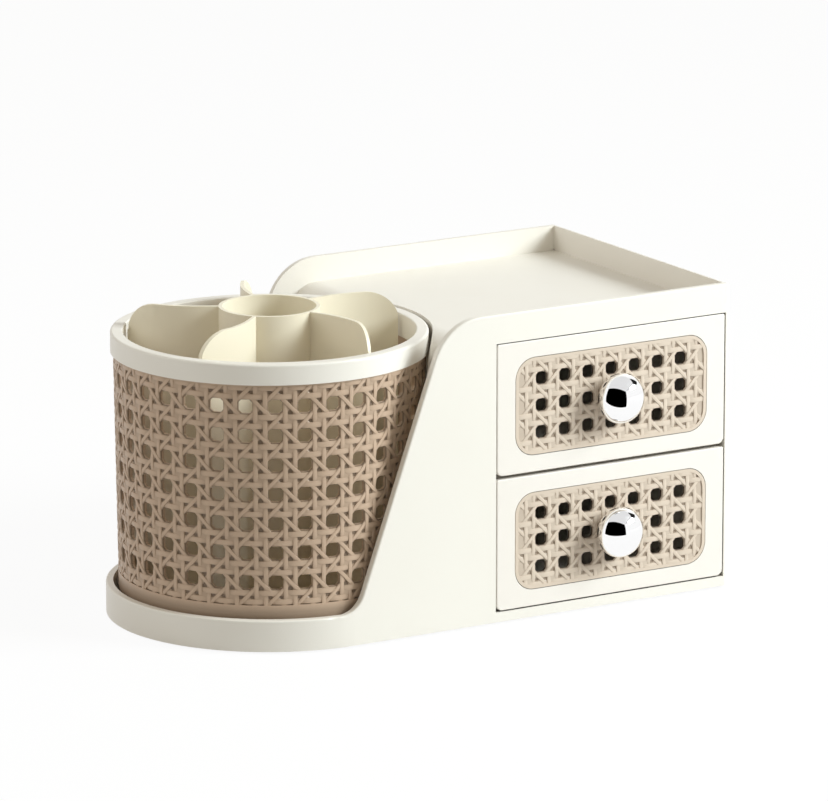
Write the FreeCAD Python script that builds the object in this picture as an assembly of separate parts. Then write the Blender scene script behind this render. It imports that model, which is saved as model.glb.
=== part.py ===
"""Rotating desk organizer: a turning pen drum beside a housing with a tray and two drawers.

The model is built about the drum's axis, with z = 0 at the housing's lower edge, +X towards the
drawers and -Y towards the front. When it is written it is moved so that the frame's origin lies
under the middle of its bounding box, on the surface that it stands on. Millimetres, +Z up.
"""
import FreeCAD, Part
import math
import os

V = FreeCAD.Vector
UP = V(0, 0, 1)

# ---------------------------------------------------------------- driving dimensions
overcut = 1.0                 # cutters run this far past the faces that they open
same_point = 1e-6

# housing
depth = 145.0                 # front face to back face
drum_to_right_face = 192.6    # drum axis to the outer face of the right wall
housing_height = 138.0
cheek_wall = 3.0              # front and back cheeks
right_wall = 1.5
skin_wall = 1.8               # tray floor, sloping skin
alcove_wall = 2.0             # curved wall beside the drum
ring_height = 13.8            # base ring round the drum
ring_wall = 3.2
tray_depth = 11.5             # lip above the tray floor
slope_from_upright = 20.0     # degrees, sloping edge of the cheeks
slope_foot_x = 1.6            # where the sloping edge would meet the top of the ring
cheek_top_radius = 25.0
cheek_foot_radius = 12.0
housing_edge_radius = 0.8
front_strip = 4.4             # strip of the front cheek under the drawers
front_head = 1.5              # top of the drawer opening below the tray floor
partition_wall = 1.8

# base plate, feet and screws
plate_wall = 2.2
plate_gap = 0.1
foot_radius = 6.0
foot_thickness = 1.5
foot_seat = 0.7
foot_inset = 6.5              # foot's edge to the walls
ring_foot_inset = 1.1         # foot's edge to the ring
ring_foot_angle = 135.0
screw_shank_radius = 1.45
screw_pilot_radius = 1.5
screw_pass_radius = 1.7
screw_head_radius = 2.9
screw_head_height = 1.4
boss_radius = 3.8
base_boss_height = 20.0
base_screw_length = 12.0
boss_wall_gap = 0.4
boss_alcove_gap = 4.0
base_boss_spread = 39.0       # rear bosses either side of the drawers' middle
shelf_boss_spread = 21.0
shelf_boss_height = 12.0
shelf_screw_length = 9.0
rib_wall = 1.6
clip_angles = (120.0, 180.0, 240.0)
clip_reach = 1.0
clip_width = 10.0
clip_height = 1.5

# drawers
drawer_front_wall = 2.6
drawer_edge_gap = 0.5         # round the outside of the two fronts
drawer_between_gap = 1.6      # between the two fronts
front_foot_radius = 3.0
front_top_radius = 0.8
front_edge_radius = 0.5
box_wall = 1.8
box_drop = 9.1                # top of the box below the top of its front
box_side_inset = 3.4          # box side behind the edge of its front
box_alcove_gap = 2.3          # box side to the alcove wall
box_back_room = 9.5           # box back to the inside of the back cheek
box_floor_drop = 0.1          # box floor below the foot of its front
box_corner_radius = 5.0
slide_gap = 0.3               # under the box and round its stops
shelf_wall = 1.8
shelf_setback = 3.5           # shelf edge behind the inside of the front cheek
rail_height = 0.8
rail_width = 3.0
guide_wall = 1.5
guide_height = 5.5
ledge_reach = 2.2
ledge_wall = 1.8
stop_width = 10.0
stop_wall = 1.5
stop_room = 2.7               # stop ribs above the box
stop_overlap = 3.3
lug_length = 4.5
drawer_travel = 95.0

# cane panels and knobs
panel_side_margin = 9.55      # panel to the edges of its front
panel_top_margin = 7.75
panel_radius = 9.5
panel_gap = 0.3
panel_border = 1.5
panel_recess = 0.8
panel_web = 1.3
panel_flange = 2.0
panel_flange_wall = 1.2
panel_pitch = 12.05
panel_hole = 5.6
panel_hole_chamfer = 1.25
knob_radius = 11.0
knob_centre_out = 9.0         # knob centre in front of the drawer's face
knob_seat_radius = 7.2
knob_screw_radius = 2.0
knob_thread_depth = 8.0
knob_washer_radius = 4.6
knob_washer_wall = 0.8
knob_head_radius = 3.6
knob_head_height = 2.4

# drum
drum_top = 126.4
rim_setback = 2.9             # rim behind the housing's front and back faces
rim_height = 9.1
rim_skirt = 0.9
rim_cap = 2.2                 # rim's top above the sleeve's
rim_width = 5.5
rim_lip_wall = 1.6
rim_lip_height = 10.4
rim_edge_radius = 1.1
rim_fit = 0.15                # skirt round the top of the sleeve
sleeve_draft = 0.848          # degrees
sleeve_wall = 2.4
sleeve_foot_z = 6.2
sleeve_foot_round = 6.0
sleeve_flange_width = 5.4
sleeve_flange_wall = 2.0
weave_columns = 33
weave_pitch = 13.03
weave_relief = 0.9            # how far the woven band lies behind the plain bands
weave_band_below = 13.0       # plain band under the woven one
weave_band_above = 0.9        # plain band that shows over it
weave_lift = 0.6              # rows above the middle of the woven band
weave_phase = 2.0             # degrees, first column of holes
weave_hole = 6.2
weave_hole_chamfer = 1.3
alcove_gap = 1.7              # rim to the alcove wall
well_gap = 2.5                # foot of the sleeve to the base ring
platter_gap = 0.15
platter_wall = 2.0
platter_screw_count = 5
platter_screw_head_radius = 2.3

# divider insert
insert_proud = 10.2           # top of the insert above the rim
insert_wall = 1.6
hub_cover_gap = 1.0
tube_radius = 22.2
vane_count = 5
vane_root_angle = 151.0
vane_straight_to = 29.0
vane_bend_radius = 48.0
vane_tip_gap = 1.4
vane_corner_radius = 13.0

# turntable
ball_count = 8
ball_radius = 3.0
ball_circle = 45.0
race_gap = 0.3
race_land = 1.7               # height of the raised race
race_half_width = 4.6
cage_wall = 1.8
cage_half_width = 5.5
cage_hole_gap = 0.2
post_radius = 7.0
post_fit = 0.05
hub_wall = 4.0
hub_rise = 2.0
locating_ring_gap = 1.2
locating_ring_wall = 1.8
locating_ring_height = 4.0
locating_fit = 0.15
pivot_washer_radius = 10.0
pivot_washer_wall = 1.0
pivot_screw_radius = 2.0
pivot_head_radius = 4.0
pivot_head_height = 2.4
pivot_screw_length = 9.0
thread_fit = 0.05
washer_gap = 0.15
screw_tip_gap = 0.5

# ---------------------------------------------------------------- derived values
half_depth = depth / 2
cheek_inside = half_depth - cheek_wall
right_inside = drum_to_right_face - right_wall
slope = math.tan(math.radians(slope_from_upright))
slope_cos = math.cos(math.radians(slope_from_upright))
ring_inside = half_depth - ring_wall
tray_floor = housing_height - tray_depth
tray_underside = tray_floor - skin_wall
rim_radius = half_depth - rim_setback
alcove_radius = rim_radius + alcove_gap
alcove_outside = alcove_radius + alcove_wall
clear_z = housing_height + insert_proud
foot_proud = foot_thickness - foot_seat
boss_y = cheek_inside - boss_radius - boss_wall_gap

box_left = alcove_outside + box_alcove_gap
front_left = box_left - box_side_inset
opening_left_x = front_left - drawer_edge_gap
front_right = right_inside - drawer_edge_gap
front_middle = (front_left + front_right) / 2
front_z = front_strip + drawer_edge_gap
opening_top = tray_floor - front_head
drawer_front_height = (opening_top - drawer_edge_gap - front_z - drawer_between_gap) / 2
drawer_pitch = drawer_front_height + drawer_between_gap
front_back_y = -half_depth + drawer_front_wall
box_right = front_right - box_side_inset
box_back = cheek_inside - box_back_room
box_floor = front_z - box_floor_drop
box_top = front_z + drawer_front_height - box_drop
rail_top = box_floor - slide_gap
shelf_top = rail_top + drawer_pitch - rail_height
shelf_underside = shelf_top - shelf_wall
shelf_front = -cheek_inside + shelf_setback
stop_bottom = box_top + stop_room
stop_back = shelf_front + stop_wall
lug_top = stop_bottom + stop_overlap
lug_front = stop_back + drawer_travel + 2 * slide_gap
panel_middle_z = front_z + drawer_front_height / 2
panel_width = front_right - front_left - 2 * panel_side_margin
panel_height = drawer_front_height - 2 * panel_top_margin
panel_columns = int((panel_width - 2 * panel_border) / panel_pitch)
panel_rows = int((panel_height - 2 * panel_border) / panel_pitch)
knob_y = -half_depth - knob_centre_out
knob_reach = knob_centre_out + knob_radius

sleeve_slope = math.tan(math.radians(sleeve_draft))
rim_foot = drum_top - rim_height
rim_inside = rim_radius - rim_width
sleeve_top = drum_top - rim_cap
sleeve_top_radius = rim_radius - rim_skirt - rim_fit
sleeve_foot_radius = sleeve_top_radius - (sleeve_top - sleeve_foot_z) * sleeve_slope
sleeve_foot_inside = sleeve_foot_radius - sleeve_wall
sleeve_flange_radius = sleeve_foot_inside - sleeve_flange_width
weave_bottom = sleeve_foot_z + weave_band_below
weave_top = rim_foot - weave_band_above
weave_rows = int((weave_top - weave_bottom) / weave_pitch)
weave_first_row = (weave_bottom + weave_top - (weave_rows - 1) * weave_pitch) / 2 + weave_lift
insert_top = drum_top + insert_proud
vane_tip_radius = rim_inside - vane_tip_gap
ball_z = plate_wall + ball_radius
race_top = plate_wall + race_land
platter_race = 2 * ball_z - race_top
platter_z = 2 * ball_z - plate_wall
platter_top = platter_z + platter_wall
post_top = platter_top + hub_rise + race_gap
hub_outside = post_radius + post_fit + hub_wall
locating_outside = hub_outside + locating_ring_gap + locating_ring_wall
insert_floor_top = platter_top + insert_wall
insert_hub_top = post_top + pivot_washer_wall + pivot_head_height + hub_cover_gap + insert_wall


# ---------------------------------------------------------------- helpers
def box(x0, x1, y0, y1, z0, z1):
    """Box between two corners."""
    return Part.makeBox(x1 - x0, y1 - y0, z1 - z0, V(x0, y0, z0))


def cylinder(radius, z0, z1, x=0.0, y=0.0):
    """Upright cylinder."""
    return Part.makeCylinder(radius, z1 - z0, V(x, y, z0))


def tube(inner, outer, z0, z1, x=0.0, y=0.0):
    """Upright ring."""
    return cylinder(outer, z0, z1, x, y).cut(cylinder(inner, z0 - overcut, z1 + overcut, x, y))


def front_cylinder(radius, y0, y1, x, z):
    """Cylinder along Y."""
    return Part.makeCylinder(radius, y1 - y0, V(x, y0, z), V(0, 1, 0))


def on_floor(a, b):
    """Point of a plan outline."""
    return V(a, b, 0)


def on_side(a, b):
    """Point of an outline in the XZ plane."""
    return V(a, 0, b)


def outline(corners, place):
    """Closed wire through corners (a, b, radius), each rounded by its radius."""
    count = len(corners)
    starts, middles, ends = [], [], []
    for i in range(count):
        corner = V(corners[i][0], corners[i][1], 0)
        before = V(corners[i - 1][0], corners[i - 1][1], 0) - corner
        after = V(corners[(i + 1) % count][0], corners[(i + 1) % count][1], 0) - corner
        before.normalize()
        after.normalize()
        radius = corners[i][2]
        half_angle = before.getAngle(after) / 2
        run = radius / math.tan(half_angle)
        inward = before + after
        if radius > 0:
            inward.normalize()
        starts.append(corner + before * run)
        ends.append(corner + after * run)
        middles.append(corner + inward * (radius / math.sin(half_angle) - radius))
    edges = []
    for i in range(count):
        if corners[i][2] > 0:
            arc = Part.Arc(place(*starts[i][:2]), place(*middles[i][:2]), place(*ends[i][:2]))
            edges.append(arc.toShape())
        following = (i + 1) % count
        if ends[i].distanceToPoint(starts[following]) > same_point:
            line = Part.LineSegment(place(*ends[i][:2]), place(*starts[following][:2]))
            edges.append(line.toShape())
    return Part.Wire(edges)


def side_prism(corners, y0, y1):
    """Outline in the XZ plane carried from y0 to y1."""
    face = Part.Face(outline(corners, on_side))
    face.translate(V(0, y0, 0))
    return face.extrude(V(0, y1 - y0, 0))


def plan_prism(corners, z0, z1):
    """Plan outline carried from z0 to z1."""
    face = Part.Face(outline(corners, on_floor))
    face.translate(V(0, 0, z0))
    return face.extrude(V(0, 0, z1 - z0))


def turned(corners):
    """Outline in the XZ half plane turned about the drum's axis."""
    return Part.Face(outline(corners, on_side)).revolve(V(0, 0, 0), UP, 360)


def around(shape, count, first_angle=0.0):
    """Copies of a shape evenly spaced about the drum's axis."""
    copies = []
    for i in range(count):
        copy = shape.copy()
        copy.rotate(V(0, 0, 0), UP, first_angle + i * 360.0 / count)
        copies.append(copy)
    return copies


def rounded_rectangle(width, height, radius, x, z, y0, y1):
    """Rounded rectangle about (x, z) that faces the front, from y0 to y1."""
    half_width = width / 2
    half_height = height / 2
    corners = [(x - half_width, z - half_height, radius), (x + half_width, z - half_height, radius),
               (x + half_width, z + half_height, radius), (x - half_width, z + half_height, radius)]
    return side_prism(corners, y0, y1)


def eight_sided(size, chamfer):
    """Corners of a square with its corners cut off."""
    half = size / 2
    short = half - chamfer
    return [(half, -short, 0), (half, short, 0), (short, half, 0), (-short, half, 0),
            (-half, short, 0), (-half, -short, 0), (-short, -half, 0), (short, -half, 0)]


def joined(shape, others):
    """One solid from a shape and the shapes fused to it."""
    return shape.fuse(others).removeSplitter()


def both_sides(places):
    """Each place (x, y) and its mirror image in y."""
    return [(x, side * y) for x, y in places for side in (-1, 1)]


def screw(shank_radius, shank_length, head_radius, head_height, seat, direction):
    """Screw whose head stands on seat and whose shank runs along direction."""
    head = Part.makeCylinder(head_radius, head_height, seat, direction * -1)
    shank = Part.makeCylinder(shank_radius, shank_length, seat, direction)
    return joined(head, [shank])


# ---------------------------------------------------------------- housing
def plan_outline(radius, right_x, z0, z1):
    """Half disc about the drum that runs into a rectangle on the right."""
    return cylinder(radius, z0, z1).fuse(box(0, right_x, -radius, radius, z0, z1)).removeSplitter()


def slope_x(z, inset):
    """X of the line that lies inset inside the cheeks' sloping edge."""
    return slope_foot_x + (z - ring_height) * slope + inset / slope_cos


def make_housing():
    """Ring, cheeks, tray, sloping skin, alcove and right wall as one moulding."""
    cheek = [(-half_depth - overcut, 0, 0), (drum_to_right_face, 0, 0),
             (drum_to_right_face, housing_height, 0),
             (slope_x(housing_height, 0), housing_height, cheek_top_radius),
             (slope_foot_x, ring_height, cheek_foot_radius), (-half_depth - overcut, ring_height, 0)]
    shell = side_prism(cheek, -half_depth, half_depth)
    shell = shell.common(plan_outline(half_depth, drum_to_right_face, 0, housing_height))
    shell = shell.makeFillet(housing_edge_radius, outer_edges(shell))

    open_top = [(slope_x(ring_height, tray_depth), ring_height, 0),
                (slope_x(tray_floor, tray_depth), tray_floor, cheek_top_radius - tray_depth),
                (right_inside, tray_floor, 0), (right_inside, clear_z, 0),
                (-half_depth - overcut, clear_z, 0), (-half_depth - overcut, ring_height, 0)]
    shell = shell.cut(side_prism(open_top, -cheek_inside, cheek_inside))
    alcove = cylinder(alcove_radius, ring_height, clear_z)
    between_cheeks = box(-half_depth, right_inside, -cheek_inside, cheek_inside, 0, clear_z)
    shell = shell.cut(alcove.common(between_cheeks))
    shell = shell.cut(cylinder(ring_inside, -overcut, ring_height + overcut))

    inset = tray_depth + skin_wall
    ledge_z = ring_height - alcove_wall
    inner_bend = cheek_top_radius - inset
    cavity = side_prism([(slope_x(-overcut, inset), -overcut, 0),
                         (slope_x(tray_underside, inset), tray_underside, inner_bend),
                         (right_inside, tray_underside, 0), (right_inside, -overcut, 0)],
                        -cheek_inside, cheek_inside)
    cavity = cavity.cut(cylinder(alcove_outside, ledge_z, clear_z))
    cavity = cavity.cut(cylinder(ring_inside + alcove_wall, -2 * overcut, ledge_z))
    shell = shell.cut(cavity)
    shell = shell.cut(plan_outline(ring_inside, overcut, -overcut, plate_wall))
    shell = shell.cut(box(0, right_inside, -cheek_inside, cheek_inside, -overcut, plate_wall))

    partition = box(opening_left_x - partition_wall, opening_left_x, -cheek_inside, cheek_inside,
                    plate_wall, tray_underside)
    partition = partition.cut(cylinder(alcove_outside - alcove_wall / 2, 0, clear_z))
    shell = joined(shell, [partition] + make_ledges() + make_bosses() + make_clips()
                   + make_stops(tray_underside, drawer_pitch))
    opening = box(opening_left_x, right_inside, -half_depth - overcut, -cheek_inside,
                  front_strip, opening_top)
    return shell.cut(opening)


def outer_edges(shell):
    """Upper edges of the ring, the cheeks and the right wall, and the upright edges on the right."""
    chosen = []
    for edge in shell.Edges:
        bounds = edge.BoundBox
        middle = edge.valueAt((edge.FirstParameter + edge.LastParameter) / 2)
        across_cheeks = bounds.YLength > depth - cheek_wall and middle.z < housing_height - cheek_wall
        if middle.z > ring_height - cheek_wall and not across_cheeks:
            chosen.append(edge)
    return chosen


def make_ledges():
    """Ledges that the shelf lies on: right, back and both stretches of the left side."""
    z0 = shelf_underside - ledge_wall
    front_y = shelf_front + ledge_reach
    left_x = opening_left_x + ledge_reach
    clear_y = math.sqrt(alcove_outside ** 2 - opening_left_x ** 2) + ledge_reach
    return [box(right_inside - ledge_reach, right_inside, front_y, cheek_inside, z0, shelf_underside),
            box(opening_left_x, right_inside, cheek_inside - ledge_reach, cheek_inside,
                z0, shelf_underside),
            box(opening_left_x - overcut, left_x, front_y, -clear_y, z0, shelf_underside),
            box(opening_left_x - overcut, left_x, clear_y, cheek_inside, z0, shelf_underside)]


def make_boss(x, y, z0, z1):
    """Screw boss with a pilot hole, tied to the nearer cheek by a rib."""
    wall_y = math.copysign(cheek_inside, y)
    rib = box(x - rib_wall / 2, x + rib_wall / 2, min(y, wall_y), max(y, wall_y), z0, z1)
    hole_top = z1 - rib_wall if z0 < ring_height else z1 + overcut
    pilot = cylinder(screw_pilot_radius, z0 - overcut, hole_top, x, y)
    return joined(cylinder(boss_radius, z0, z1, x, y), [rib]).cut(pilot)


def base_boss_places():
    """Bosses that the base plate is screwed to: one each side of the alcove, two behind the drawers."""
    reach = alcove_outside + boss_radius + boss_alcove_gap
    side_x = math.sqrt(reach ** 2 - boss_y ** 2)
    rear_xs = (front_middle - base_boss_spread, front_middle + base_boss_spread)
    return both_sides([(side_x, boss_y)]) + [(x, boss_y) for x in rear_xs]


def shelf_boss_places():
    """Bosses that the shelf is screwed to."""
    return [(front_middle - shelf_boss_spread, boss_y), (front_middle + shelf_boss_spread, boss_y)]


def foot_places():
    """Feet under the ring, left of the drawers and at the right wall."""
    reach = ring_inside - foot_radius - ring_foot_inset
    angle = math.radians(ring_foot_angle)
    foot_y = cheek_inside - foot_radius - foot_inset
    return both_sides([(reach * math.cos(angle), reach * math.sin(angle)),
                       (opening_left_x + foot_radius + foot_inset, foot_y),
                       (right_inside - foot_radius - foot_inset, foot_y)])


def make_bosses():
    """All the bosses of the housing."""
    base = [make_boss(x, y, plate_wall, base_boss_height) for x, y in base_boss_places()]
    shelf = [make_boss(x, y, shelf_underside - shelf_boss_height, shelf_underside)
             for x, y in shelf_boss_places()]
    return base + shelf


def make_clips():
    """Nibs inside the ring that hold the base plate's round end down."""
    nib = box(ring_inside - clip_reach, ring_inside + overcut, -clip_width / 2, clip_width / 2,
              plate_wall, plate_wall + clip_height)
    clips = []
    for angle in clip_angles:
        clip = nib.copy()
        clip.rotate(V(0, 0, 0), UP, angle)
        clips.append(clip)
    return clips


def make_stops(top, shift):
    """Two ribs that hang over a drawer's sides and meet its stop lugs."""
    return [box(x, x + stop_width, shelf_front, stop_back, stop_bottom + shift, top)
            for x in (box_left, box_right - stop_width)]


# ---------------------------------------------------------------- base plate, feet, shelf, screws
def make_rails(floor_z, top_z):
    """Two low rails under a drawer and a guide on each side of it."""
    span = box_right - box_left
    rails = [box(x - rail_width / 2, x + rail_width / 2, shelf_front, box_back, floor_z, top_z)
             for x in (box_left + span / 6, box_right - span / 6)]
    guides = [box(x, x + guide_wall, shelf_front, box_back, floor_z, top_z + guide_height)
              for x in (box_left - slide_gap - guide_wall, box_right + slide_gap)]
    return rails + guides


def make_base_plate():
    """Floor of the housing with the turntable's post and race, drawer rails and foot seats."""
    edge = ring_inside - plate_gap
    plate = plan_outline(edge, overcut, 0, plate_wall)
    plate = plate.fuse(box(0, right_inside - plate_gap, -cheek_inside + plate_gap,
                           cheek_inside - plate_gap, 0, plate_wall))
    post = cylinder(post_radius, 0, post_top)
    race = tube(ball_circle - race_half_width, ball_circle + race_half_width, 0, race_top)
    plate = joined(plate, [post, race] + make_rails(plate_wall, rail_top))
    plate = plate.cut(Part.makeTorus(ball_circle, ball_radius + race_gap, V(0, 0, ball_z)))
    plate = plate.cut(cylinder(pivot_screw_radius + thread_fit, post_top - pivot_screw_length - overcut,
                               post_top + overcut))
    for x, y in base_boss_places():
        plate = plate.cut(cylinder(screw_pass_radius, -overcut, plate_wall + overcut, x, y))
        plate = plate.cut(cylinder(screw_head_radius + slide_gap, -overcut, screw_head_height, x, y))
    for x, y in foot_places():
        plate = plate.cut(cylinder(foot_radius + plate_gap, -overcut, foot_seat, x, y))
    return plate


def make_feet():
    """Round rubber feet seated in the base plate."""
    return Part.makeCompound([cylinder(foot_radius, foot_seat - foot_thickness, foot_seat, x, y)
                              for x, y in foot_places()])


def make_base_screws():
    """Screws that hold the base plate up to the housing's bosses."""
    return Part.makeCompound([screw(screw_shank_radius, base_screw_length, screw_head_radius,
                                    screw_head_height, V(x, y, screw_head_height), UP)
                              for x, y in base_boss_places()])


def make_shelf():
    """Shelf that carries the upper drawer and stops the lower one."""
    edge_gap = 2 * plate_gap
    plate = box(opening_left_x + edge_gap, right_inside - edge_gap, shelf_front,
                cheek_inside - edge_gap, shelf_underside, shelf_top)
    plate = plate.cut(cylinder(alcove_outside + edge_gap, 0, clear_z))
    rails = make_rails(shelf_top, shelf_top + rail_height)
    plate = joined(plate, rails + make_stops(shelf_underside, 0))
    for x, y in shelf_boss_places():
        plate = plate.cut(cylinder(screw_pass_radius, shelf_underside - overcut,
                                   shelf_top + overcut, x, y))
    return plate


def make_shelf_screws():
    """Screws that hold the shelf down."""
    return Part.makeCompound([screw(screw_shank_radius, shelf_screw_length, screw_head_radius,
                                    screw_head_height, V(x, y, shelf_top), UP * -1)
                              for x, y in shelf_boss_places()])


# ---------------------------------------------------------------- turntable
def make_cage():
    """Flat ring that spaces the balls."""
    cage = tube(ball_circle - cage_half_width, ball_circle + cage_half_width,
                ball_z - cage_wall / 2, ball_z + cage_wall / 2)
    pocket = cylinder(ball_radius + cage_hole_gap, 0, 2 * ball_z, ball_circle)
    return cage.cut(around(pocket, ball_count))


def make_balls():
    """Balls of the turntable."""
    ball = Part.makeSphere(ball_radius, V(ball_circle, 0, ball_z))
    return Part.makeCompound(around(ball, ball_count))


def make_platter():
    """Floor of the drum: hub, upper race and the ring that locates the divider insert."""
    plate = cylinder(sleeve_radius(platter_z) - sleeve_wall - platter_gap, platter_z, platter_top)
    hub = cylinder(hub_outside, platter_race, platter_top + hub_rise)
    race = tube(ball_circle - race_half_width, ball_circle + race_half_width, platter_race, platter_z)
    locator = tube(locating_outside - locating_ring_wall, locating_outside, platter_z,
                   platter_top + locating_ring_height)
    plate = joined(plate, [hub, race, locator])
    plate = plate.cut(Part.makeTorus(ball_circle, ball_radius + race_gap, V(0, 0, ball_z)))
    plate = plate.cut(cylinder(post_radius + post_fit, 0, clear_z))
    pilot = cylinder(screw_pilot_radius, platter_z - overcut, platter_top, platter_screw_radius())
    return plate.cut(around(pilot, platter_screw_count))


def platter_screw_radius():
    """Distance of the platter screws from the axis."""
    return (sleeve_flange_radius + sleeve_foot_inside) / 2


def make_platter_screws():
    """Screws up through the sleeve's flange into the platter."""
    seat = V(platter_screw_radius(), 0, sleeve_foot_z)
    length = platter_top - sleeve_foot_z - plate_gap
    one = screw(screw_shank_radius, length, platter_screw_head_radius, screw_head_height, seat, UP)
    return Part.makeCompound(around(one, platter_screw_count))


def make_pivot_washer():
    """Washer that keeps the platter down on its post."""
    return tube(pivot_screw_radius + washer_gap, pivot_washer_radius,
                post_top, post_top + pivot_washer_wall)


def make_pivot_screw():
    """Screw into the post."""
    seat = V(0, 0, post_top + pivot_washer_wall)
    length = pivot_screw_length + pivot_washer_wall - screw_tip_gap
    return screw(pivot_screw_radius, length, pivot_head_radius, pivot_head_height, seat, UP * -1)


# ---------------------------------------------------------------- drum
def sleeve_radius(z):
    """Outer radius of the tapered sleeve."""
    return sleeve_foot_radius + (z - sleeve_foot_z) * sleeve_slope


def make_sleeve():
    """Tapered wall of the drum with its rows of eight-sided cane holes."""
    foot_out = sleeve_radius(sleeve_foot_z)
    flange_top = sleeve_foot_z + sleeve_flange_wall
    wall = turned([(sleeve_flange_radius, sleeve_foot_z, 0),
                   (foot_out, sleeve_foot_z, sleeve_foot_round),
                   (sleeve_radius(weave_bottom), weave_bottom, 0),
                   (sleeve_radius(weave_bottom) - weave_relief, weave_bottom, 0),
                   (sleeve_radius(weave_top) - weave_relief, weave_top, 0),
                   (sleeve_radius(weave_top), weave_top, 0),
                   (sleeve_radius(sleeve_top), sleeve_top, 0),
                   (sleeve_radius(sleeve_top) - sleeve_wall, sleeve_top, 0),
                   (sleeve_radius(flange_top) - sleeve_wall, flange_top, 0),
                   (sleeve_flange_radius, flange_top, 0)])
    face = Part.Face(outline(eight_sided(weave_hole, weave_hole_chamfer), on_side))
    face.rotate(V(0, 0, 0), UP, 90)
    cutter = face.extrude(V(4 * sleeve_wall, 0, 0))
    cutter.translate(V(sleeve_foot_radius - 2 * sleeve_wall, 0, 0))
    cutters = []
    for row in range(weave_rows):
        lifted = cutter.copy()
        lifted.translate(V(0, 0, weave_first_row + row * weave_pitch))
        cutters += around(lifted, weave_columns, weave_phase)
    pass_hole = cylinder(screw_pass_radius, 0, flange_top + overcut, platter_screw_radius())
    return wall.cut(cutters + around(pass_hole, platter_screw_count))


def make_rim():
    """Rim that caps the sleeve with a skirt outside it and a lip inside it."""
    rim = turned([(rim_inside, drum_top - rim_lip_height, 0),
                  (rim_inside + rim_lip_wall, drum_top - rim_lip_height, 0),
                  (rim_inside + rim_lip_wall, sleeve_top + plate_gap, 0),
                  (rim_radius - rim_skirt, sleeve_top + plate_gap, 0),
                  (rim_radius - rim_skirt, rim_foot, 0), (rim_radius, rim_foot, 0),
                  (rim_radius, drum_top, rim_edge_radius), (rim_inside, drum_top, rim_edge_radius / 2)])
    return rim


def vane_end_angle():
    """Turn of the vane's bend at which it reaches its tip radius."""
    a = 2 * vane_straight_to * vane_bend_radius
    b = 2 * vane_bend_radius ** 2
    c = vane_tip_radius ** 2 - vane_straight_to ** 2
    return math.asin((c - b) / math.hypot(a, b)) + math.atan2(b, a)


def make_vane():
    """One swirl vane: a straight root that bends clockwise towards its tip."""
    half = insert_wall / 2
    end = vane_end_angle()

    def bend_point(radius, angle):
        return V(vane_straight_to + radius * math.sin(angle),
                 radius * math.cos(angle) - vane_bend_radius, insert_floor_top - half)

    near = vane_bend_radius - half
    far = vane_bend_radius + half
    root_x = tube_radius - half
    root_far = V(root_x, half, insert_floor_top - half)
    root_near = V(root_x, -half, insert_floor_top - half)
    edges = [Part.LineSegment(root_far, bend_point(far, 0)),
             Part.Arc(bend_point(far, 0), bend_point(far, end / 2), bend_point(far, end)),
             Part.LineSegment(bend_point(far, end), bend_point(near, end)),
             Part.Arc(bend_point(near, end), bend_point(near, end / 2), bend_point(near, 0)),
             Part.LineSegment(bend_point(near, 0), root_near),
             Part.LineSegment(root_near, root_far)]
    face = Part.Face(Part.Wire([edge.toShape() for edge in edges]))
    return face.extrude(V(0, 0, insert_top - insert_floor_top + half))


def make_insert():
    """Divider insert: floor, centre tube, hub cover and five swirl vanes."""
    floor = cylinder(vane_tip_radius, platter_top, insert_floor_top)
    wall = tube(tube_radius - insert_wall, tube_radius, platter_top, insert_top)
    hub_inside = locating_outside + locating_fit
    hub = cylinder(hub_inside + insert_wall, platter_top, insert_hub_top)
    insert = joined(floor, [wall, hub] + around(make_vane(), vane_count, vane_root_angle))
    insert = insert.cut(cylinder(hub_inside, platter_top - overcut, insert_hub_top - insert_wall))
    corner_z = insert_top - vane_corner_radius
    corner = turned([(vane_tip_radius - vane_corner_radius, corner_z, 0),
                     (vane_tip_radius + overcut, corner_z, 0),
                     (vane_tip_radius + overcut, insert_top + overcut, 0),
                     (vane_tip_radius - vane_corner_radius, insert_top + overcut, 0)])
    round_over = Part.makeTorus(vane_tip_radius - vane_corner_radius, vane_corner_radius,
                                V(0, 0, corner_z))
    return insert.cut(corner.cut(round_over))


# ---------------------------------------------------------------- drawers
def make_drawer_box(shift):
    """Drawer moulding: box with its front, the window for the cane panel and two stop lugs."""
    plan = [(box_left, front_back_y, 0), (box_right, front_back_y, 0),
            (box_right, box_back, box_corner_radius), (box_left, box_back, box_corner_radius)]
    room = [(box_left + box_wall, front_back_y, 0), (box_right - box_wall, front_back_y, 0),
            (box_right - box_wall, box_back - box_wall, box_corner_radius - box_wall),
            (box_left + box_wall, box_back - box_wall, box_corner_radius - box_wall)]
    tray = plan_prism(plan, box_floor, box_top)
    tray = tray.cut(plan_prism(room, box_floor + box_wall, box_top + overcut))
    front_top = front_z + drawer_front_height
    front = side_prism([(front_left, front_z, front_foot_radius),
                        (front_right, front_z, front_foot_radius),
                        (front_right, front_top, front_top_radius),
                        (front_left, front_top, front_top_radius)], -half_depth, front_back_y)
    face_edges = [edge for edge in front.Edges if edge.BoundBox.YMax < -half_depth + front_edge_radius]
    front = front.makeFillet(front_edge_radius, face_edges)
    front = front.cut(rounded_rectangle(panel_width + 2 * panel_gap, panel_height + 2 * panel_gap,
                                        panel_radius + panel_gap, front_middle, panel_middle_z,
                                        -half_depth - overcut, front_back_y + overcut))
    lugs = [box(x, x + box_wall, lug_front, lug_front + lug_length, box_top - overcut, lug_top)
            for x in (box_left, box_right - box_wall)]
    drawer = joined(tray, [front] + lugs)
    drawer.translate(V(0, 0, shift))
    return drawer


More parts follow.
